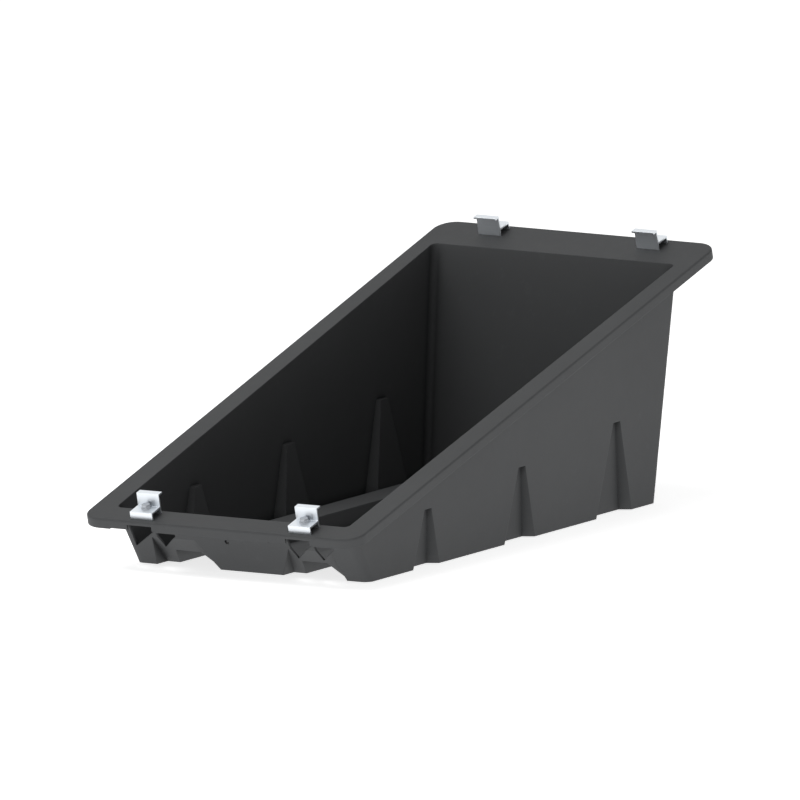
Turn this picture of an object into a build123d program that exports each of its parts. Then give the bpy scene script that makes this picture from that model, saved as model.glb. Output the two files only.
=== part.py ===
"""Solar ballast mount: a one-piece moulded tub that holds ballast and carries a tilted panel.

The tub stands on the ground, its rim flange slopes at the panel's tilt, and an aluminium end
clamp at each of four places on the flange grips the panel's frame. All sizes are millimetres.
X runs across the tub, Y from its low front to its high rear, Z up. The origin is on the ground,
midway across the tub and midway along its footprint.
"""

import os
from math import cos, radians, sin, tan

from build123d import *

# Panel that the mount is made for
PANEL_TILT = 15.0  # slope of the rim flange and of the panel on it, degrees
PANEL_WIDTH = 1134.0  # frame size along the slope, from clamp to clamp
PANEL_THICKNESS = 30.0  # frame height, gripped under the clamp's finger

# Tub footprint and walls
FOOT_WIDTH = 424.0  # footprint across the tub
FOOT_SHORTFALL = 202.0  # footprint's length less than the panel's width
WALL = 4.5  # moulded wall thickness
SIDE_DRAFT = 2.0  # outward lean of each side wall, degrees
REAR_DRAFT = 7.5  # outward lean of the rear wall, degrees
FRONT_LEAN = 36.0  # forward lean of the front wall, degrees
CORNER_RADIUS = 14.0  # upright corners of the tub

# Rim flange, laid out on the sloping deck
DECK_FRONT_HEIGHT = 85.0  # top of the flange at its front edge
FLANGE_WIDTH = 504.0
FLANGE_MARGIN = 42.0  # flange beyond the panel frame at front and rear
FLANGE_FRONT_REACH = 113.0  # flange front edge ahead of the footprint
FLANGE_THICKNESS = 4.5
FLANGE_RADIUS = 34.0
SKIRT_DEPTH = 16.0  # downturned edge of the flange, from the deck
SKIRT_THICKNESS = 4.0
SKIRT_NOTCH_WIDTH = 44.0  # gap in the skirt at each clamp, for reaching the nut
SKIRT_NOTCH_TOP = 6.5  # top of that gap below the deck
RIM_ROUND = 3.0  # rounded top edge of the flange

# Tapering side grooves that stiffen the walls: centre from the front of the footprint, and width
# at the ground, each as a share of the footprint's length
SIDE_GROOVES = ((0.2, 0.09), (0.524, 0.105), (0.851, 0.122))
GROOVE_DEPTH = 18.0
GROOVE_FLARE = 29.0  # spread of each flank from square to the wall, degrees
GROOVE_TAPER = 15.0  # lean of each flank toward the groove's middle, degrees
GROOVE_END_HALF = 7.0  # half the floor's width where the groove ends, and its depth there

# Underside: two recesses in the front wall, each leading into a drainage channel
RECESS_INNER = 57.0  # recess side next to the centre block, from the middle, at the ground
RECESS_OUTER = 173.0  # recess side next to the outer foot, at the ground
RECESS_DEPTH = 34.0  # step back from the front wall at the ground
RECESS_HEIGHT = 50.0  # the recess runs out into the front wall here
RECESS_INNER_LEAN = 30.0  # slope of the recess side next to the centre block, degrees
RECESS_OUTER_LEAN = 12.0  # slope of the recess side next to the outer foot, degrees
CHANNEL_INNER = 80.0  # channel sides, from the middle, at the ground
CHANNEL_OUTER = 150.0
CHANNEL_HEIGHT = 26.0
CHANNEL_LEAN = 25.0  # slope of each channel side, degrees

# Openings in the front wall
WINDOW_BAR = 4.0  # upright bar between the two windows under a clamp
WINDOW_BAR_OFFSET = -10.0  # middle of the bar from the clamp's middle
WINDOW_BASE = 31.0  # height of the lower tip of each window
WINDOW_TOP = 71.0
WIDE_WINDOW = 42.0  # reach of the window on the far side of the bar
SMALL_WINDOW = 34.0  # reach of the other window
WINDOW_SLOPE = 34.0  # rise of the slanting edge of each window, degrees
CORD_HOLE = 7.5  # small hole in the front wall
CORD_HOLE_X = -25.0
CORD_HOLE_HEIGHT = 52.0

# Panel clamps
CLAMP_SPACING = 288.0  # between the two clamps of one edge
CLAMP_WIDTH = 40.0
CLAMP_REACH = 31.0  # base of the clamp, from its front lip to the frame
CLAMP_BASE_HEIGHT = 12.0
CLAMP_SHEET = 3.0  # wall of the extruded profile
CLAMP_FINGER = 9.0  # overlap on the frame
BOLT_SETBACK = 12.5  # bolt axis in front of the frame

# M8 fasteners
SHANK = 8.0
CLEARANCE_HOLE = 9.0
HEX_ACROSS_FLATS = 13.0
HEAD_HEIGHT = 5.3
NUT_HEIGHT = 6.8
WASHER_OUTER = 16.0
WASHER_THICKNESS = 1.6
BACKING_LENGTH = 34.0
BACKING_DEPTH = 20.0
BACKING_THICKNESS = 3.0
BACKING_CORNER = 1.5
THREAD_END = 5.0  # bolt past the nut
HEX_CHAMFER = 0.8

PAST_GROUND = 1.0  # how far below the ground the cuts from underneath begin
THROUGH = 4.0  # length of a cutting solid, in thicknesses of what it goes through

FOOT_LENGTH = PANEL_WIDTH - FOOT_SHORTFALL
FRONT_Y = -FOOT_LENGTH / 2
REAR_Y = FOOT_LENGTH / 2
SIDE_X = FOOT_WIDTH / 2
FLANGE_LENGTH = PANEL_WIDTH + 2 * FLANGE_MARGIN
DECK_FRONT_Y = FRONT_Y - FLANGE_FRONT_REACH
DECK_REAR_HEIGHT = DECK_FRONT_HEIGHT + FLANGE_LENGTH * sin(radians(PANEL_TILT))
BODY_HEIGHT = DECK_REAR_HEIGHT + SKIRT_DEPTH

# The deck frame: origin at the middle of the flange's front edge, Y up the slope, Z off the deck
DECK = Plane(
    origin=(0, DECK_FRONT_Y, DECK_FRONT_HEIGHT),
    x_dir=(1, 0, 0),
    z_dir=(0, -sin(radians(PANEL_TILT)), cos(radians(PANEL_TILT))),
)


def frustum(inset: float) -> Part:
    """Tapered body of the tub, its walls moved inward by inset, before the deck cuts it."""

    def outline(height: float) -> Face:
        half = SIDE_X + height * tan(radians(SIDE_DRAFT)) - inset
        front = FRONT_Y - height * tan(radians(FRONT_LEAN)) + inset / cos(radians(FRONT_LEAN))
        rear = REAR_Y + height * tan(radians(REAR_DRAFT)) - inset
        corners = [(-half, front), (half, front), (half, rear), (-half, rear)]
        return Pos(0, 0, height) * make_face(Polyline(*corners, close=True))

    body = loft([outline(0), outline(BODY_HEIGHT)], ruled=True)
    uprights = body.edges() - body.edges().filter_by(Plane.XY)
    return fillet(uprights, CORNER_RADIUS - inset)


def side_groove(side: int, centre: float, width: float, grow: float) -> Part:
    """One tapering groove cut into a side wall, its faces moved outward by grow."""
    flare = tan(radians(GROOVE_FLARE))
    floor_half = width / 2 - GROOVE_DEPTH * flare
    end_height = (floor_half - GROOVE_END_HALF) / tan(radians(GROOVE_TAPER))

    def plan(height: float, half: float, depth: float) -> Face:
        wall_x = SIDE_X + height * tan(radians(SIDE_DRAFT))
        floor_x = wall_x - depth - grow
        mouth_x = wall_x + GROOVE_DEPTH
        mouth_half = half + grow + (mouth_x - floor_x) * flare
        points = [
            (floor_x, centre - half - grow),
            (mouth_x, centre - mouth_half),
            (mouth_x, centre + mouth_half),
            (floor_x, centre + half + grow),
        ]
        outline = Polyline(*[(side * x, FRONT_Y + y) for x, y in points], close=True)
        return Pos(0, 0, height) * make_face(outline)

    foot = plan(0, floor_half, GROOVE_DEPTH)
    end = plan(end_height + grow, GROOVE_END_HALF, GROOVE_END_HALF)
    return loft([foot, end], ruled=True)


def trapezoid(inner: float, outer: float, inner_lean: float, outer_lean: float, rise: float) -> list:
    """Corners, in X and Z, of a cut that narrows upward from the ground between two sides."""
    return [
        (inner, -PAST_GROUND),
        (outer, -PAST_GROUND),
        (outer, 0),
        (outer - rise * tan(radians(outer_lean)), rise),
        (inner + rise * tan(radians(inner_lean)), rise),
        (inner, 0),
    ]


def lengthwise(side: int, section: list) -> Part:
    """Solid of a cross-section over the whole length of the tub, on one side of it."""
    outline = Polyline(*[(side * x, z) for x, z in section], close=True)
    return extrude(Plane.XZ * make_face(outline), FOOT_LENGTH, both=True)


def front_recess(side: int, grow: float) -> Part:
    """Wedge cut under the front wall between the centre block and an outer foot."""
    rise = RECESS_HEIGHT + grow
    back = FRONT_Y + RECESS_DEPTH + grow
    ahead = DECK_FRONT_Y
    profile = [
        (back, 0),
        (back, -PAST_GROUND),
        (ahead, -PAST_GROUND),
        (ahead, rise),
        (FRONT_Y - RECESS_HEIGHT * tan(radians(FRONT_LEAN)), rise),
    ]
    wedge = extrude(Plane.YZ * make_face(Polyline(*profile, close=True)), SIDE_X, both=True)
    section = trapezoid(
        RECESS_INNER - grow, RECESS_OUTER + grow, RECESS_INNER_LEAN, RECESS_OUTER_LEAN, rise
    )
    return wedge & lengthwise(side, section)


def drain_channel(side: int, grow: float) -> Part:
    """Open channel under the floor, from the front recess through to the rear wall."""
    rise = CHANNEL_HEIGHT + grow
    section = trapezoid(
        CHANNEL_INNER - grow, CHANNEL_OUTER + grow, CHANNEL_LEAN, CHANNEL_LEAN, rise
    )
    return lengthwise(side, section)


def shaped(body: Part, grow: float) -> Part:
    """The body with its grooves, front recesses and drainage channels taken out."""
    for side in (-1, 1):
        for centre, width in SIDE_GROOVES:
            body -= side_groove(side, centre * FOOT_LENGTH, width * FOOT_LENGTH, grow)
        body -= front_recess(side, grow)
        body -= drain_channel(side, grow)
    return body


def above_deck() -> Part:
    """Everything over the sloping deck."""
    size = 2 * (FLANGE_LENGTH + FLANGE_WIDTH)
    return DECK * Pos(0, 0, size / 2) * Box(size, size, size)


def deck_outline(inset: float) -> Sketch:
    """Plan of the flange in the deck frame, moved inward by inset."""
    plan = RectangleRounded(
        FLANGE_WIDTH - 2 * inset, FLANGE_LENGTH - 2 * inset, FLANGE_RADIUS - inset
    )
    return Pos(0, FLANGE_LENGTH / 2) * plan


def flange() -> Part:
    """Sloping rim flange with its downturned skirt, notched under each clamp."""
    slab = extrude(deck_outline(0), -FLANGE_THICKNESS)
    skirt = extrude(deck_outline(0) - deck_outline(SKIRT_THICKNESS), -SKIRT_DEPTH)
    rim = slab + skirt
    rim = fillet(rim.edges().filter_by(Plane.XY).group_by(Axis.Z)[-1], RIM_ROUND)
    notch_height = SKIRT_DEPTH - SKIRT_NOTCH_TOP
    for side in (-1, 1):
        for y in (0, FLANGE_LENGTH):
            place = Pos(side * CLAMP_SPACING / 2, y, -SKIRT_NOTCH_TOP - notch_height / 2)
            rim -= place * Box(SKIRT_NOTCH_WIDTH, THROUGH * SKIRT_THICKNESS, notch_height)
    return DECK * rim


def front_window(bar_x: float, reach: float, side: int) -> Part:
    """Four-cornered window beside an upright bar, its lower edge rising to the right."""
    left = bar_x + WINDOW_BAR / 2 if side > 0 else bar_x - WINDOW_BAR / 2 - reach
    right = left + reach
    corners = [
        (left, WINDOW_BASE),
        (left, WINDOW_TOP),
        (right, WINDOW_TOP),
        (right, WINDOW_BASE + reach * tan(radians(WINDOW_SLOPE))),
    ]
    face = Plane.XZ * make_face(Polyline(*corners, close=True))
    return Pos(0, FRONT_Y, 0) * extrude(face, FLANGE_FRONT_REACH, both=True)


def ballast_tub() -> Part:
    """The one-piece moulded tub."""
    outside = shaped(frustum(0), 0) - above_deck()
    inside = shaped(frustum(WALL), WALL)
    inside -= Pos(0, 0, WALL / 2) * Box(2 * FOOT_WIDTH, 2 * FOOT_LENGTH, WALL)
    tub = outside + flange() - inside
    for side in (-1, 1):
        bar_x = side * CLAMP_SPACING / 2 + WINDOW_BAR_OFFSET
        tub -= front_window(bar_x, WIDE_WINDOW, -1)
        tub -= front_window(bar_x, SMALL_WINDOW, 1)
    hole = Plane.XZ * Pos(CORD_HOLE_X, CORD_HOLE_HEIGHT) * Circle(CORD_HOLE / 2)
    tub -= Pos(0, FRONT_Y, 0) * extrude(hole, FLANGE_FRONT_REACH, both=True)
    for place in clamp_places().values():
        tub -= place * Cylinder(CLEARANCE_HOLE / 2, THROUGH * FLANGE_THICKNESS)
    return tub


def clamp_places() -> dict[str, Location]:
    """Each clamp's bolt axis on the deck, its Y pointing toward the panel."""
    front_y = FLANGE_MARGIN - BOLT_SETBACK
    rear_y = FLANGE_LENGTH - front_y
    half = CLAMP_SPACING / 2
    deck = DECK.location
    return {
        "front_left": deck * Location((-half, front_y, 0)),
        "front_right": deck * Location((half, front_y, 0)),
        "rear_left": deck * Location((-half, rear_y, 0), (0, 0, 180)),
        "rear_right": deck * Location((half, rear_y, 0), (0, 0, 180)),
    }


def clamp() -> Part:
    """Extruded end clamp: a channel-shaped base, a riser at the frame and a finger over it."""
    lip = BOLT_SETBACK - CLAMP_REACH
    frame = BOLT_SETBACK
    under = CLAMP_BASE_HEIGHT - CLAMP_SHEET
    top = PANEL_THICKNESS + CLAMP_SHEET
    profile = [
        (lip, 0),
        (lip + CLAMP_SHEET, 0),
        (lip + CLAMP_SHEET, under),
        (frame - CLAMP_SHEET, under),
        (frame - CLAMP_SHEET, 0),
        (frame, 0),
        (frame, PANEL_THICKNESS),
        (frame + CLAMP_FINGER, PANEL_THICKNESS),
        (frame + CLAMP_FINGER, top),
        (frame - CLAMP_SHEET, top),
        (frame - CLAMP_SHEET, CLAMP_BASE_HEIGHT),
        (lip, CLAMP_BASE_HEIGHT),
    ]
    face = Plane.YZ * make_face(Polyline(*profile, close=True))
    body = extrude(face, CLAMP_WIDTH / 2, both=True)
    return body - Pos(0, 0, under) * Cylinder(CLEARANCE_HOLE / 2, THROUGH * CLAMP_SHEET)


def hexagon(height: float) -> Part:
    """Hexagonal prism from z = 0, chamfered at its corners."""
    prism = extrude(RegularPolygon(HEX_ACROSS_FLATS / 2, 6, major_radius=False), height)
    corner = HEX_ACROSS_FLATS / 2 / cos(radians(30))
    turned = Cylinder(corner, height, align=(Align.CENTER, Align.CENTER, Align.MIN))
    return prism & chamfer(turned.edges().group_by(Axis.Z)[-1], HEX_CHAMFER)


def ring(outer: float, hole: float, thickness: float) -> Part:
    """Flat washer from z = 0 upward."""
    return extrude(Circle(outer / 2) - Circle(hole / 2), thickness)


def bolt() -> Part:
    """M8 hexagon bolt, from its head on the washer down past the nut."""
    seat = CLAMP_BASE_HEIGHT + WASHER_THICKNESS
    end = -FLANGE_THICKNESS - BACKING_THICKNESS - NUT_HEIGHT - THREAD_END
    shank = Cylinder(SHANK / 2, seat - end, align=(Align.CENTER, Align.CENTER, Align.MIN))
    shank = chamfer(shank.edges().group_by(Axis.Z)[0], HEX_CHAMFER)
    return Pos(0, 0, end) * shank + Pos(0, 0, seat) * hexagon(HEAD_HEIGHT)


def backing_plate() -> Part:
    """Flat steel plate under the flange that spreads the nut's load."""
    plate = RectangleRounded(BACKING_LENGTH, BACKING_DEPTH, BACKING_CORNER)
    return extrude(plate - Circle(CLEARANCE_HOLE / 2), -BACKING_THICKNESS)


def nut() -> Part:
    """M8 nut under the backing plate."""
    body = hexagon(NUT_HEIGHT) - Cylinder(SHANK / 2, THROUGH * NUT_HEIGHT)
    return Rot(180, 0, 0) * body


def main() -> None:
    """Builds every piece and writes one STEP file each."""
    os.makedirs("parts", exist_ok=True)
    pieces = {"ballast_tub": ballast_tub()}
    for name, place in clamp_places().items():
        under_flange = place * Location((0, 0, -FLANGE_THICKNESS))
        under_plate = under_flange * Location((0, 0, -BACKING_THICKNESS))
        pieces[f"{name}_clamp"] = place * clamp()
        pieces[f"{name}_washer"] = (
            place
            * Location((0, 0, CLAMP_BASE_HEIGHT))
            * ring(WASHER_OUTER, CLEARANCE_HOLE, WASHER_THICKNESS)
        )
        pieces[f"{name}_bolt"] = place * bolt()
        pieces[f"{name}_backing_plate"] = under_flange * backing_plate()
        pieces[f"{name}_nut"] = under_plate * nut()
    for name, shape in pieces.items():
        export_step(shape, f"parts/{name}.step")


if __name__ == "__main__":
    main()
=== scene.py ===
"""Dresses the solar ballast mount: a moulded tub, four end clamps and their fasteners."""

import logging
import math
from dataclasses import dataclass, field
from enum import Enum
from typing import Any

import bmesh
import bpy
from mathutils import Matrix, Vector


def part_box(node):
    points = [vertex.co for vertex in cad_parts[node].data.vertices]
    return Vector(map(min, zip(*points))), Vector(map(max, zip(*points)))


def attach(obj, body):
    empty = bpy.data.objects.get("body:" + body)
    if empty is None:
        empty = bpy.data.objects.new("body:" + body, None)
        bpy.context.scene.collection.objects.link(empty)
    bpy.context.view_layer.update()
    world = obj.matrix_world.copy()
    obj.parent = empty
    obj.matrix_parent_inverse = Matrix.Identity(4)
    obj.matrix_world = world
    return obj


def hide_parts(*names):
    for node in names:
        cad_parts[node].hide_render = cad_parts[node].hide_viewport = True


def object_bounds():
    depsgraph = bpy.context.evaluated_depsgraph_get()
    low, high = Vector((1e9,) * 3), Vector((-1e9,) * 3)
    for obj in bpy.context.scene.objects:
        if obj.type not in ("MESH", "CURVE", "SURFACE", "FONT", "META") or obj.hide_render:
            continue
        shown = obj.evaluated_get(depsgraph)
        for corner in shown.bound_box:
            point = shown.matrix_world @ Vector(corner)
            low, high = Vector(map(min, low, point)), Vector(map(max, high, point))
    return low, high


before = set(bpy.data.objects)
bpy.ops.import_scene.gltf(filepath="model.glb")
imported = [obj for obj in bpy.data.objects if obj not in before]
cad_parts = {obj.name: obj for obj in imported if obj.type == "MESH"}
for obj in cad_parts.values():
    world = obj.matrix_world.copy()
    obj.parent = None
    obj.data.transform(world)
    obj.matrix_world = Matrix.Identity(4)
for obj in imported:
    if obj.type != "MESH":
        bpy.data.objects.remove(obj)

LOG = logging.getLogger("ballast_mount")
CAD_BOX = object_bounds()
MM = 0.001
BODY = "root"
DECK_TILT_DEG = 15.0
SAME = 1e-6  # heights closer than this count as one
SMOOTH_BELOW = math.radians(30)  # edges flatter than this are shaded smooth


class ClampPlace(Enum):
    """The four places on the rim flange that carry a clamp, by the front of their node names."""

    FRONT_LEFT = "front_left"
    FRONT_RIGHT = "front_right"
    REAR_LEFT = "rear_left"
    REAR_RIGHT = "rear_right"


class Slot(Enum):
    """The record's material slots."""

    TUB = "tub_plastic"
    CLAMP = "clamp_aluminium"
    FASTENER = "stainless_steel"


def linear(hex_colour: str) -> tuple[float, float, float, float]:
    """Turns an sRGB hex colour into the linear colour that a shader takes.

    Args:
        hex_colour: Six hex digits after a hash, such as "#4A4B4D".

    Returns:
        Linear red, green and blue with a full alpha.
    """
    digits = hex_colour.lstrip("#")
    values = [int(digits[i : i + 2], 16) / 255 for i in (0, 2, 4)]
    red, green, blue = (v / 12.92 if v <= 0.04045 else ((v + 0.055) / 1.055) ** 2.4 for v in values)
    return red, green, blue, 1.0


def pattern_scale(size_mm: float) -> float:
    """Scale of a texture on Object coordinates whose features are size_mm across."""
    return 1.0 / (size_mm * MM)


def add_node(
    tree: bpy.types.NodeTree,
    kind: str,
    settings: dict[str, Any] | None = None,
    inputs: dict[str, Any] | None = None,
) -> bpy.types.Node:
    """Adds a shader node, sets its properties, and fills or links its inputs.

    Args:
        tree: Node tree that the node joins.
        kind: Blender's name for the node type.
        settings: Properties of the node itself.
        inputs: Input names with a value each, or an output socket to link from.

    Returns:
        The new node.
    """
    node = tree.nodes.new(kind)
    for name, value in (settings or {}).items():
        setattr(node, name, value)
    for name, value in (inputs or {}).items():
        socket = node.inputs[name]
        if isinstance(value, bpy.types.NodeSocket):
            tree.links.new(value, socket)
        else:
            socket.default_value = value
    return node


def new_material(name: str) -> tuple[bpy.types.Material, bpy.types.NodeTree]:
    """A material with an empty node tree."""
    material = bpy.data.materials.new(name)
    material.use_nodes = True
    material.node_tree.nodes.clear()
    return material, material.node_tree


def mix_colours(tree: bpy.types.NodeTree, factor: Any, first: Any, second: str) -> Any:
    """Mixes two colours.

    Args:
        tree: Node tree that the mix joins.
        factor: Output socket that gives the share of the second colour.
        first: First colour, as an output socket or an sRGB hex colour.
        second: Second colour, as an sRGB hex colour.

    Returns:
        The output socket of the mixed colour.
    """
    node = add_node(tree, "ShaderNodeMix", {"data_type": "RGBA"}, {"Factor": factor})
    if isinstance(first, str):
        node.inputs[6].default_value = linear(first)
    else:
        tree.links.new(first, node.inputs[6])
    node.inputs[7].default_value = linear(second)
    return node.outputs[2]


def object_coordinates(tree: bpy.types.NodeTree, stretch: tuple[float, float, float]) -> Any:
    """Object coordinates, multiplied along each axis by stretch."""
    place = add_node(tree, "ShaderNodeTexCoord")
    mapping = add_node(
        tree, "ShaderNodeMapping", inputs={"Vector": place.outputs["Object"], "Scale": stretch}
    )
    return mapping.outputs["Vector"]


@dataclass(frozen=True)
class MouldedPolyethylene:
    """Recycled high-density polyethylene, rotation or injection moulded.

    A dull, slightly waxy dark grey: a spark-eroded mould leaves a fine grain, the regrind a faint
    cloudiness, and every moulded edge has a small radius that catches the light. Inner corners
    are darkened with painted shade, from an ambient occlusion mask.
    """

    shade: str = "#454647"
    cloud: str = "#3F4041"
    scuff: str = "#535456"
    # Painted shade: the near-black that inner corners and recesses are darkened towards.
    painted_corner_shade: str = "#151617"
    roughness: float = 0.62
    roughness_spread: float = 0.07
    grain_mm: float = 1.1  # coarser than the real 0.2 mm grain, so that it shows
    cloud_mm: float = 140.0
    scuff_mm: float = 26.0
    # How far the painted corner shade reaches from an inner corner.
    corner_shade_reach_mm: float = 24.0
    edge_radius_mm: float = 2.2

    def build(self) -> bpy.types.Material:
        """Makes the material.

        Returns:
            The material, patterned on Object coordinates.
        """
        material, tree = new_material("moulded_recycled_polyethylene")
        even = object_coordinates(tree, (1.0, 1.0, 1.0))
        clouds = add_node(
            tree,
            "ShaderNodeTexNoise",
            inputs={"Vector": even, "Scale": pattern_scale(self.cloud_mm), "Detail": 3.0},
        )
        clouded = mix_colours(tree, clouds.outputs["Fac"], self.shade, self.cloud)
        rubs = add_node(
            tree,
            "ShaderNodeTexNoise",
            inputs={
                "Vector": even,
                "Scale": pattern_scale(self.scuff_mm),
                "Detail": 8.0,
                "Roughness": 0.72,
            },
        )
        rub_mask = add_node(
            tree,
            "ShaderNodeMapRange",
            inputs={
                "Value": rubs.outputs["Fac"],
                "From Min": 0.58,
                "From Max": 0.80,
                "To Max": 0.35,
            },
        )
        rubbed = mix_colours(tree, rub_mask.outputs["Result"], clouded, self.scuff)
        # Painted shade: an ambient occlusion mask darkens inner corners and recesses towards the
        # painted corner shade colour.
        open_share = add_node(
            tree,
            "ShaderNodeAmbientOcclusion",
            {"samples": 8, "only_local": True},
            {"Distance": self.corner_shade_reach_mm * MM},
        )
        corner_shade_share = add_node(
            tree,
            "ShaderNodeMapRange",
            inputs={
                "Value": open_share.outputs["AO"],
                "From Min": 0.62,
                "From Max": 0.93,
                "To Min": 0.95,
                "To Max": 0.0,
            },
        )
        corner_shaded = mix_colours(tree, corner_shade_share.outputs["Result"], rubbed, self.painted_corner_shade)
        grain = add_node(
            tree,
            "ShaderNodeTexNoise",
            inputs={"Vector": even, "Scale": pattern_scale(self.grain_mm), "Detail": 2.0},
        )
        dullness = add_node(
            tree,
            "ShaderNodeMapRange",
            inputs={
                "Value": rubs.outputs["Fac"],
                "To Min": self.roughness - self.roughness_spread,
                "To Max": self.roughness + self.roughness_spread,
            },
        )
        rounded = add_node(
            tree, "ShaderNodeBevel", {"samples": 6}, {"Radius": self.edge_radius_mm * MM}
        )
        bump = add_node(
            tree,
            "ShaderNodeBump",
            inputs={
                "Strength": 0.25,
                "Distance": 0.2 * MM,
                "Height": grain.outputs["Fac"],
                "Normal": rounded.outputs["Normal"],
            },
        )
        shader = add_node(
            tree,
            "ShaderNodeBsdfPrincipled",
            inputs={
                "Base Color": corner_shaded,
                "Roughness": dullness.outputs["Result"],
                "IOR": 1.54,
                "Specular IOR Level": 0.14,
                "Normal": bump.outputs["Normal"],
            },
        )
        add_node(tree, "ShaderNodeOutputMaterial", inputs={"Surface": shader.outputs["BSDF"]})
        return material


@dataclass(frozen=True)
class AnodisedAluminium:
    """Extruded aluminium with a clear satin anodised coat.

    Pale and softly bright, with faint die lines that run along the extrusion, across the tub.
    """

    shade: str = "#E3E7EB"
    line_shade: str = "#D3D8DD"
    roughness: float = 0.34
    line_mm: float = 0.9
    line_length_mm: float = 60.0
    edge_radius_mm: float = 0.6

    def build(self) -> bpy.types.Material:
        """Makes the material.

        Returns:
            The material, patterned on Object coordinates.
        """
        material, tree = new_material("satin_anodised_aluminium")
        along = object_coordinates(tree, (self.line_mm / self.line_length_mm, 1.0, 1.0))
        lines = add_node(
            tree,
            "ShaderNodeTexNoise",
            inputs={"Vector": along, "Scale": pattern_scale(self.line_mm), "Detail": 4.0},
        )
        colour = mix_colours(tree, lines.outputs["Fac"], self.shade, self.line_shade)
        polish = add_node(
            tree,
            "ShaderNodeMapRange",
            inputs={
                "Value": lines.outputs["Fac"],
                "To Min": self.roughness - 0.06,
                "To Max": self.roughness + 0.08,
            },
        )
        rounded = add_node(
            tree, "ShaderNodeBevel", {"samples": 6}, {"Radius": self.edge_radius_mm * MM}
        )
        bump = add_node(
            tree,
            "ShaderNodeBump",
            inputs={
                "Strength": 0.12,
                "Distance": 0.05 * MM,
                "Height": lines.outputs["Fac"],
                "Normal": rounded.outputs["Normal"],
            },
        )
        shader = add_node(
            tree,
            "ShaderNodeBsdfPrincipled",
            inputs={
                "Base Color": colour,
                "Metallic": 1.0,
                "Roughness": polish.outputs["Result"],
                "Normal": bump.outputs["Normal"],
            },
        )
        add_node(tree, "ShaderNodeOutputMaterial", inputs={"Surface": shader.outputs["BSDF"]})
        return material


@dataclass(frozen=True)
class StainlessSteel:
    """Cold-formed A2 stainless steel, tumbled bright.

    Grey metal a little darker than the clamps, with a fine uneven sheen.
    """

    shade: str = "#B6B9BD"
    dull_shade: str = "#A2A5A9"
    roughness: float = 0.28
    mottle_mm: float = 2.4

    def build(self) -> bpy.types.Material:
        """Makes the material.

        Returns:
            The material, patterned on Object coordinates.
        """
        material, tree = new_material("tumbled_stainless_steel")
        even = object_coordinates(tree, (1.0, 1.0, 1.0))
        mottle = add_node(
            tree,
            "ShaderNodeTexNoise",
            inputs={"Vector": even, "Scale": pattern_scale(self.mottle_mm), "Detail": 5.0},
        )
        colour = mix_colours(tree, mottle.outputs["Fac"], self.shade, self.dull_shade)
        polish = add_node(
            tree,
            "ShaderNodeMapRange",
            inputs={
                "Value": mottle.outputs["Fac"],
                "To Min": self.roughness - 0.08,
                "To Max": self.roughness + 0.12,
            },
        )
        shader = add_node(
            tree,
            "ShaderNodeBsdfPrincipled",
            inputs={
                "Base Color": colour,
                "Metallic": 1.0,
                "Roughness": polish.outputs["Result"],
            },
        )
        add_node(tree, "ShaderNodeOutputMaterial", inputs={"Surface": shader.outputs["BSDF"]})
        return material


def wear(obj: bpy.types.Object, material: bpy.types.Material) -> None:
    """Gives a piece that one material."""
    obj.data.materials.clear()
    obj.data.materials.append(material)


def deselect_all() -> None:
    """Leaves object mode with nothing selected."""
    if bpy.context.object and bpy.context.object.mode != "OBJECT":
        bpy.ops.object.mode_set(mode="OBJECT")
    bpy.ops.object.select_all(action="DESELECT")


def select_edges(obj: bpy.types.Object, test: Any) -> None:
    """Selects, in edit mode, the edges whose two ends pass the test.

    Args:
        obj: Mesh object in edit mode.
        test: Takes the edge's two end points and says whether it is selected.
    """
    bpy.ops.mesh.select_mode(type="EDGE")
    mesh = bmesh.from_edit_mesh(obj.data)
    for edge in mesh.edges:
        first, second = (v.co for v in edge.verts)
        edge.select_set(bool(test(first, second)))
    bmesh.update_edit_mesh(obj.data)


def bring_home(obj: bpy.types.Object, place: Matrix) -> None:
    """Moves a finished mesh to its place, leaving its object at the origin."""
    obj.data.transform(place @ obj.matrix_world)
    obj.matrix_world = Matrix.Identity(4)


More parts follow.
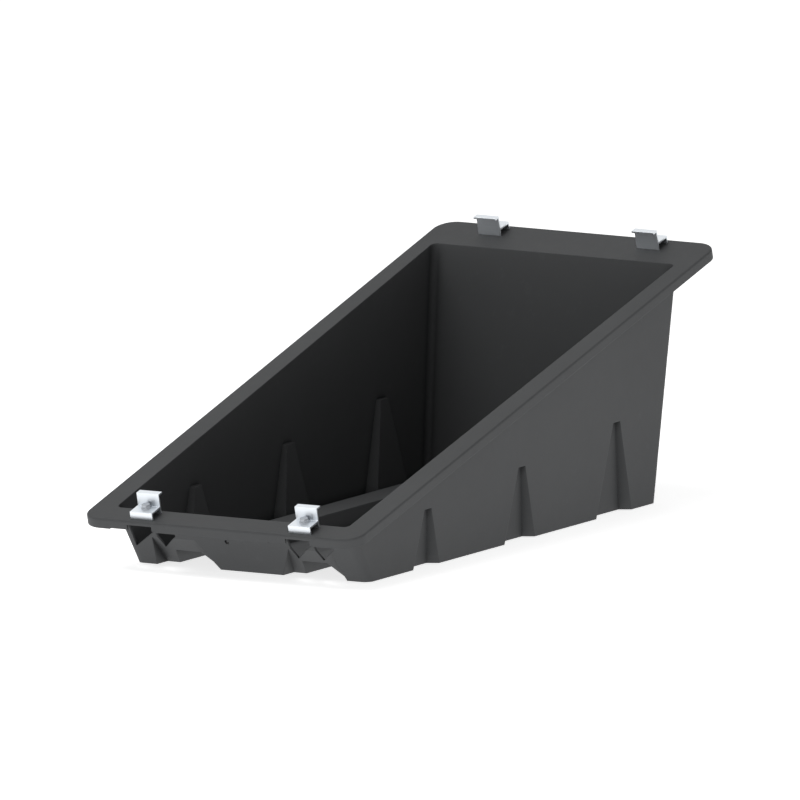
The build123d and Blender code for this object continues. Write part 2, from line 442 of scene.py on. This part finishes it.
@dataclass
class Fasteners:
    """One clamp's M8 bolt, washer and nut, modelled about the bolt's axis and then copied.

    In the maker's frame z = 0 is the top of the rim flange and +z points away from it.
    """

    shank_radius: float = 4.0 * MM
    across_flats: float = 13.0 * MM
    head_height: float = 5.3 * MM
    nut_height: float = 6.8 * MM
    washer_radius: float = 8.0 * MM
    washer_hole: float = 4.5 * MM
    washer_thickness: float = 1.6 * MM
    clamp_base: float = 12.0 * MM
    flange_thickness: float = 4.5 * MM
    backing_thickness: float = 3.0 * MM
    thread_end: float = 5.0 * MM
    thread_pitch: float = 1.25 * MM
    thread_depth: float = 0.65 * MM
    thread_length: float = 24.0 * MM
    thread_sink: float = 0.1 * MM  # how far the thread's ridge is sunk into the core
    ridge_share: float = 0.42  # half the ridge's width, as a share of the pitch
    hex_chamfer: float = 0.9 * MM
    end_chamfer: float = 0.8 * MM
    rim_round: float = 0.3 * MM
    turned_sides: int = 48
    rod_sides: int = 40
    rim_sides: int = 64
    thread_steps: int = 28
    turned_swell: float = 1.001  # keeps the turned blank just outside the hexagon's corners
    finish: StainlessSteel = field(default_factory=StainlessSteel)

    @property
    def corner_radius(self) -> float:
        """Radius through the corners of the hexagon."""
        return self.across_flats / 2 / math.cos(math.radians(30))

    @property
    def under_plate(self) -> float:
        """Height of the nut's seat, under the backing plate."""
        return -self.flange_thickness - self.backing_thickness

    @property
    def bolt_end(self) -> float:
        """Height of the bolt's lower end."""
        return self.under_plate - self.nut_height - self.thread_end

    @property
    def head_seat(self) -> float:
        """Height of the underside of the bolt's head."""
        return self.clamp_base + self.washer_thickness

    def hexagon(self, name: str, low: float, height: float, chamfer_low: bool) -> bpy.types.Object:
        """Models a hexagonal block with its corners turned down to a chamfer.

        Args:
            name: Name of the new object.
            low: Height of the block's lower face.
            height: Height of the block.
            chamfer_low: Whether the lower face is turned down too.

        Returns:
            The block.
        """
        deselect_all()
        bpy.ops.mesh.primitive_cylinder_add(
            vertices=6,
            radius=self.corner_radius,
            depth=height,
            location=(0, 0, low + height / 2),
            rotation=(0, 0, math.radians(30)),
        )
        block = bpy.context.object
        block.name = name
        bpy.ops.object.transform_apply(location=True, rotation=True, scale=True)
        turned_low = low if chamfer_low else low - height
        bpy.ops.mesh.primitive_cylinder_add(
            vertices=self.turned_sides,
            radius=self.corner_radius * self.turned_swell,
            depth=low + height - turned_low,
            location=(0, 0, (low + height + turned_low) / 2),
        )
        turned = bpy.context.object
        bpy.ops.object.transform_apply(location=True, rotation=True, scale=True)
        bpy.ops.object.mode_set(mode="EDIT")
        top = low + height
        select_edges(
            turned,
            lambda a, b: abs(a.z - b.z) < SAME and (abs(a.z - top) < SAME or chamfer_low),
        )
        bpy.ops.mesh.bevel(offset=self.hex_chamfer, segments=1)
        bpy.ops.object.mode_set(mode="OBJECT")
        self.combine(block, turned, "INTERSECT")
        return block

    @staticmethod
    def combine(piece: bpy.types.Object, tool: bpy.types.Object, operation: str) -> None:
        """Applies a boolean of tool to piece, and removes the tool.

        Args:
            piece: Object that is changed.
            tool: Object that changes it.
            operation: Blender's name for the boolean.
        """
        deselect_all()
        bpy.context.view_layer.objects.active = piece
        piece.select_set(True)
        modifier = piece.modifiers.new("turned", "BOOLEAN")
        modifier.operation = operation
        modifier.object = tool
        modifier.solver = "EXACT"
        bpy.ops.object.modifier_apply(modifier=modifier.name)
        bpy.data.objects.remove(tool, do_unlink=True)

    def threaded_rod(self, name: str) -> bpy.types.Object:
        """Models the shank: plain under the head, and a helical thread below.

        Args:
            name: Name of the new object.

        Returns:
            The shank.
        """
        deselect_all()
        plain_low = self.bolt_end + self.thread_length
        bpy.ops.mesh.primitive_cylinder_add(
            vertices=self.rod_sides,
            radius=self.shank_radius,
            depth=self.head_seat - plain_low,
            location=(0, 0, (self.head_seat + plain_low) / 2),
        )
        shank = bpy.context.object
        shank.name = name
        bpy.ops.object.transform_apply(location=True, rotation=True, scale=True)
        core = self.shank_radius - self.thread_depth
        bpy.ops.mesh.primitive_cylinder_add(
            vertices=self.rod_sides,
            radius=core,
            depth=self.thread_length,
            location=(0, 0, self.bolt_end + self.thread_length / 2),
        )
        root = bpy.context.object
        bpy.ops.object.transform_apply(location=True, rotation=True, scale=True)
        bpy.ops.object.mode_set(mode="EDIT")
        select_edges(root, lambda a, b: max(a.z, b.z) < self.bolt_end + SAME)
        bpy.ops.mesh.bevel(offset=self.end_chamfer, segments=1)
        bpy.ops.object.mode_set(mode="OBJECT")
        ridge = self.thread_ridge(core)
        deselect_all()
        for part in (shank, root, ridge):
            part.select_set(True)
        bpy.context.view_layer.objects.active = shank
        bpy.ops.object.join()
        return shank

    def thread_ridge(self, core: float) -> bpy.types.Object:
        """Models the helical ridge of the thread.

        Args:
            core: Radius at the root of the thread.

        Returns:
            The ridge, a closed triangular section wound round the axis.
        """
        deselect_all()
        bpy.ops.mesh.primitive_circle_add(
            vertices=3,
            radius=self.thread_depth,
            fill_type="NOTHING",
            location=(core, 0, self.bolt_end + self.thread_pitch),
            rotation=(math.radians(90), 0, 0),
        )
        ridge = bpy.context.object
        bpy.ops.object.transform_apply(location=True, rotation=True, scale=True)
        corners = (
            (core - self.thread_sink, -self.thread_pitch * self.ridge_share),
            (core - self.thread_sink, self.thread_pitch * self.ridge_share),
            (self.shank_radius, 0.0),
        )
        low = self.bolt_end + self.thread_pitch
        for vertex, (radius, rise) in zip(ridge.data.vertices, corners):
            vertex.co = Vector((radius, 0, low + rise))
        turns = int((self.thread_length - 2 * self.thread_pitch) / self.thread_pitch)
        winding = ridge.modifiers.new("winding", "SCREW")
        winding.axis = "Z"
        winding.screw_offset = self.thread_pitch
        winding.iterations = turns
        winding.steps = self.thread_steps
        winding.render_steps = self.thread_steps
        winding.use_normal_calculate = True
        bpy.ops.object.modifier_apply(modifier=winding.name)
        bpy.ops.object.mode_set(mode="EDIT")
        bpy.ops.mesh.select_all(action="DESELECT")
        bpy.ops.mesh.select_non_manifold()
        bpy.ops.mesh.fill()
        bpy.ops.mesh.select_all(action="SELECT")
        bpy.ops.mesh.normals_make_consistent(inside=False)
        bpy.ops.object.mode_set(mode="OBJECT")
        return ridge

    def bolt(self) -> bpy.types.Object:
        """Models the whole bolt."""
        head = self.hexagon("bolt_model", self.head_seat, self.head_height, chamfer_low=False)
        rod = self.threaded_rod("rod_model")
        deselect_all()
        head.select_set(True)
        rod.select_set(True)
        bpy.context.view_layer.objects.active = head
        bpy.ops.object.join()
        bpy.ops.object.shade_smooth_by_angle(angle=SMOOTH_BELOW)
        return head

    def nut(self) -> bpy.types.Object:
        """Models the nut, chamfered on both faces, with its bore."""
        low = self.under_plate - self.nut_height
        body = self.hexagon("nut_model", low, self.nut_height, chamfer_low=True)
        bpy.ops.mesh.primitive_cylinder_add(
            vertices=self.rod_sides,
            radius=self.shank_radius,
            depth=3 * self.nut_height,
            location=(0, 0, low + self.nut_height / 2),
        )
        self.combine(body, bpy.context.object, "DIFFERENCE")
        bpy.ops.object.shade_smooth_by_angle(angle=SMOOTH_BELOW)
        return body

    def washer(self) -> bpy.types.Object:
        """Models the flat washer with its stamped, rounded rims."""
        deselect_all()
        middle = self.clamp_base + self.washer_thickness / 2
        bpy.ops.mesh.primitive_cylinder_add(
            vertices=self.rim_sides,
            radius=self.washer_radius,
            depth=self.washer_thickness,
            location=(0, 0, middle),
        )
        disc = bpy.context.object
        disc.name = "washer_model"
        bpy.ops.object.transform_apply(location=True, rotation=True, scale=True)
        bpy.ops.mesh.primitive_cylinder_add(
            vertices=self.rim_sides,
            radius=self.washer_hole,
            depth=4 * self.washer_thickness,
            location=(0, 0, middle),
        )
        self.combine(disc, bpy.context.object, "DIFFERENCE")
        bpy.ops.object.mode_set(mode="EDIT")
        select_edges(
            disc,
            lambda a, b: abs(a.z - b.z) < SAME and abs(a.xy.length - b.xy.length) < SAME,
        )
        bpy.ops.mesh.bevel(offset=self.rim_round, segments=2)
        bpy.ops.object.mode_set(mode="OBJECT")
        bpy.ops.object.shade_smooth_by_angle(angle=SMOOTH_BELOW)
        return disc

    def axis_place(self, place: ClampPlace) -> Matrix:
        """Where one bolt's axis crosses the top of the flange.

        Args:
            place: Which clamp.

        Returns:
            The matrix that takes the fasteners' own frame to that place.
        """
        lowest, highest = (Vector(corner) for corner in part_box(f"{place.value}_washer"))
        tilt = Matrix.Rotation(math.radians(DECK_TILT_DEG), 4, "X")
        rise = self.clamp_base + self.washer_thickness / 2
        foot = (lowest + highest) / 2 - tilt.to_3x3() @ Vector((0, 0, rise))
        return Matrix.Translation(foot) @ tilt

    def build(self) -> list[bpy.types.Object]:
        """Models each fastener once and sets a copy at every clamp.

        Returns:
            The bolts, nuts and washers of all four clamps.
        """
        material = self.finish.build()
        models = {"bolt": self.bolt(), "nut": self.nut(), "washer": self.washer()}
        made = []
        for place in ClampPlace:
            matrix = self.axis_place(place)
            for kind, model in models.items():
                piece = model.copy()
                piece.data = model.data.copy()
                piece.name = f"{place.value}_{kind}_detail"
                bpy.context.collection.objects.link(piece)
                bring_home(piece, matrix)
                wear(piece, material)
                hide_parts(f"{place.value}_{kind}")
                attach(piece, BODY)
                made.append(piece)
            wear(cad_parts[f"{place.value}_backing_plate"], material)
        for model in models.values():
            bpy.data.objects.remove(model, do_unlink=True)
        return made


@dataclass
class Clamps:
    """The four extruded end clamps, whose solids only need their finish."""

    finish: AnodisedAluminium = field(default_factory=AnodisedAluminium)

    def build(self) -> list[bpy.types.Object]:
        """Dresses the clamps.

        Returns:
            The four clamps.
        """
        material = self.finish.build()
        clamps = [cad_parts[f"{place.value}_clamp"] for place in ClampPlace]
        for clamp in clamps:
            wear(clamp, material)
        return clamps


@dataclass
class Tub:
    """The moulded tub, whose solid has its whole shape."""

    finish: MouldedPolyethylene = field(default_factory=MouldedPolyethylene)

    def build(self) -> list[bpy.types.Object]:
        """Dresses the tub.

        Returns:
            The tub alone.
        """
        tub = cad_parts["ballast_tub"]
        wear(tub, self.finish.build())
        return [tub]


@dataclass
class Studio:
    """White surroundings, a soft lamp and a distant, parallel camera."""

    azimuth_deg: float = 29.4
    elevation_deg: float = 9.04
    picture_span: float = 1.27
    camera_distance: float = 8.0
    floor_size: float = 60.0
    floor_gap: float = 0.3 * MM  # keeps the floor clear of the feet's own faces
    floor_shade: str = "#FAFAFA"
    floor_lift: float = 0.74  # glow of the floor on rays from the camera
    floor_bounce: float = 1.14  # its glow on every other ray, which lights what faces down
    dome_strength: float = 0.32
    lamp_offset: tuple[float, float, float] = (-1.2, -1.2, 3.4)
    lamp_size: float = 3.0
    key_power: float = 90.0

    def middle(self) -> Vector:
        """The middle of the object's box."""
        low, high = (Vector(corner) for corner in CAD_BOX)
        return (low + high) / 2

    def camera(self) -> bpy.types.Object:
        """Sets up the parallel camera."""
        data = bpy.data.cameras.new("camera")
        data.type = "ORTHO"
        data.ortho_scale = self.picture_span
        data.clip_end = 100.0
        camera = bpy.data.objects.new("camera", data)
        bpy.context.collection.objects.link(camera)
        turn, rise = math.radians(self.azimuth_deg), math.radians(self.elevation_deg)
        outward = Vector(
            (math.sin(turn) * math.cos(rise), -math.cos(turn) * math.cos(rise), math.sin(rise))
        )
        camera.location = self.middle() + outward * self.camera_distance
        camera.rotation_euler = (-outward).to_track_quat("-Z", "Y").to_euler()
        bpy.context.scene.camera = camera
        return camera

    def seen_directly(self, tree: bpy.types.NodeTree) -> Any:
        """A value of 1 on rays from the camera, reflections and transmission, and 0 on others."""
        rays = add_node(tree, "ShaderNodeLightPath")
        shine = add_node(tree, "ShaderNodeMath", {"operation": "MAXIMUM"})
        tree.links.new(rays.outputs["Is Glossy Ray"], shine.inputs[0])
        tree.links.new(rays.outputs["Is Transmission Ray"], shine.inputs[1])
        seen = add_node(tree, "ShaderNodeMath", {"operation": "MAXIMUM"})
        tree.links.new(rays.outputs["Is Camera Ray"], seen.inputs[0])
        tree.links.new(shine.outputs["Value"], seen.inputs[1])
        return seen.outputs["Value"]

    def world(self) -> None:
        """Lights the scene from a white dome that looks white."""
        world = bpy.data.worlds.new("white_dome")
        world.use_nodes = True
        bpy.context.scene.world = world
        tree = world.node_tree
        tree.nodes.clear()
        strength = add_node(
            tree,
            "ShaderNodeMapRange",
            inputs={"Value": self.seen_directly(tree), "To Min": self.dome_strength, "To Max": 1.0},
        )
        dome = add_node(
            tree, "ShaderNodeBackground", inputs={"Strength": strength.outputs["Result"]}
        )
        dome.inputs["Color"].default_value = (1.0, 1.0, 1.0, 1.0)
        add_node(tree, "ShaderNodeOutputWorld", inputs={"Surface": dome.outputs["Background"]})

    def floor(self) -> bpy.types.Object:
        """Lays a wide white floor, which keeps the object's shadow and is clear from below."""
        deselect_all()
        level = CAD_BOX[0][2] - self.floor_gap
        bpy.ops.mesh.primitive_plane_add(size=self.floor_size, location=(0, 0, level))
        floor = bpy.context.object
        floor.name = "studio_floor"
        material, tree = new_material("white_paper")
        paper = add_node(
            tree, "ShaderNodeBsdfDiffuse", inputs={"Color": linear(self.floor_shade)}
        )
        strength = add_node(
            tree,
            "ShaderNodeMapRange",
            inputs={
                "Value": self.seen_directly(tree),
                "To Min": self.floor_bounce,
                "To Max": self.floor_lift,
            },
        )
        glow = add_node(tree, "ShaderNodeEmission", inputs={"Strength": strength.outputs["Result"]})
        both = add_node(tree, "ShaderNodeAddShader")
        tree.links.new(paper.outputs["BSDF"], both.inputs[0])
        tree.links.new(glow.outputs["Emission"], both.inputs[1])
        side = add_node(tree, "ShaderNodeNewGeometry")
        clear = add_node(tree, "ShaderNodeBsdfTransparent")
        one_sided = add_node(
            tree, "ShaderNodeMixShader", inputs={"Fac": side.outputs["Backfacing"]}
        )
        tree.links.new(both.outputs["Shader"], one_sided.inputs[1])
        tree.links.new(clear.outputs["BSDF"], one_sided.inputs[2])
        add_node(tree, "ShaderNodeOutputMaterial", inputs={"Surface": one_sided.outputs["Shader"]})
        wear(floor, material)
        return floor

    def lamp(self, name: str, offset: Vector, size: float, power: float) -> bpy.types.Object:
        """Hangs a soft square lamp that faces the object.

        Args:
            name: Name of the lamp.
            offset: Its place from the middle of the object.
            size: Side of its square.
            power: Its power in watts.

        Returns:
            The lamp.
        """
        data = bpy.data.lights.new(name, "AREA")
        data.shape = "SQUARE"
        data.size = size
        data.energy = power
        lamp = bpy.data.objects.new(name, data)
        bpy.context.collection.objects.link(lamp)
        lamp.location = self.middle() + offset
        lamp.rotation_euler = (-offset).to_track_quat("-Z", "Y").to_euler()
        return lamp

    def build(self) -> list[bpy.types.Object]:
        """Sets up the floor, the dome, the lamp and the camera.

        Returns:
            The studio's objects.
        """
        self.world()
        bpy.context.scene.view_settings.view_transform = "Standard"
        key = self.lamp("key_lamp", Vector(self.lamp_offset), self.lamp_size, self.key_power)
        return [self.camera(), self.floor(), key]


def main() -> None:
    """Builds every sub-assembly and reports it."""
    logging.basicConfig(level=logging.INFO, format="%(name)s: %(message)s")
    for maker in (Studio(), Tub(), Clamps(), Fasteners()):
        pieces = maker.build()
        LOG.info("%s: %d objects", type(maker).__name__, len(pieces))


if __name__ == "__main__":
    main()
